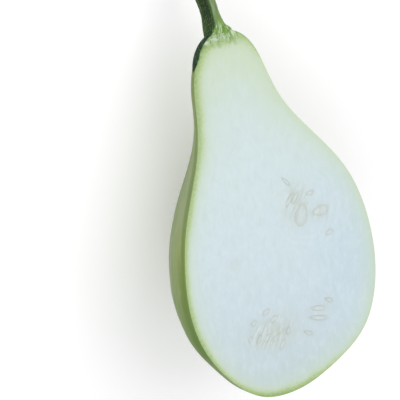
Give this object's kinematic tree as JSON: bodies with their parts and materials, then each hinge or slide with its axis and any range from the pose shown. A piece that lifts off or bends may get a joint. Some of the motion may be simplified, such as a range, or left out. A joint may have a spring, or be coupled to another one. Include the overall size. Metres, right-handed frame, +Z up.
{
  "type": "bottle gourd half",
  "caption": "Pear-shaped bottle gourd cut in half lengthwise, lying on its rounded back with the flat cut face up, seeds in the flesh and the stem still on.",
  "frame": {"origin": "middle of the bounding box in plan, at the height of the surface that the half rests on", "axes": "+Z up, away from the resting surface; +Y along the length, from the blossom end to the stem; the cut face looks up and leans 12 degrees towards +Y"},
  "size_m": [0.1234, 0.2294, 0.0779],
  "materials": {
    "flesh_and_rind": "satin",
    "stem": "matte",
    "seed": "satin"
  },
  "bodies": {
    "root": {"gourd_half": "flesh_and_rind", "stem": "stem", "seed_01": "seed", "seed_02": "seed", "seed_03": "seed", "seed_04": "seed", "seed_05": "seed", "seed_06": "seed", "seed_07": "seed", "seed_08": "seed", "seed_09": "seed", "seed_10": "seed", "seed_11": "seed", "seed_12": "seed", "seed_13": "seed", "seed_14": "seed", "seed_15": "seed", "seed_16": "seed", "seed_17": "seed", "seed_18": "seed", "seed_19": "seed", "seed_20": "seed"}
  },
  "joints": []
}
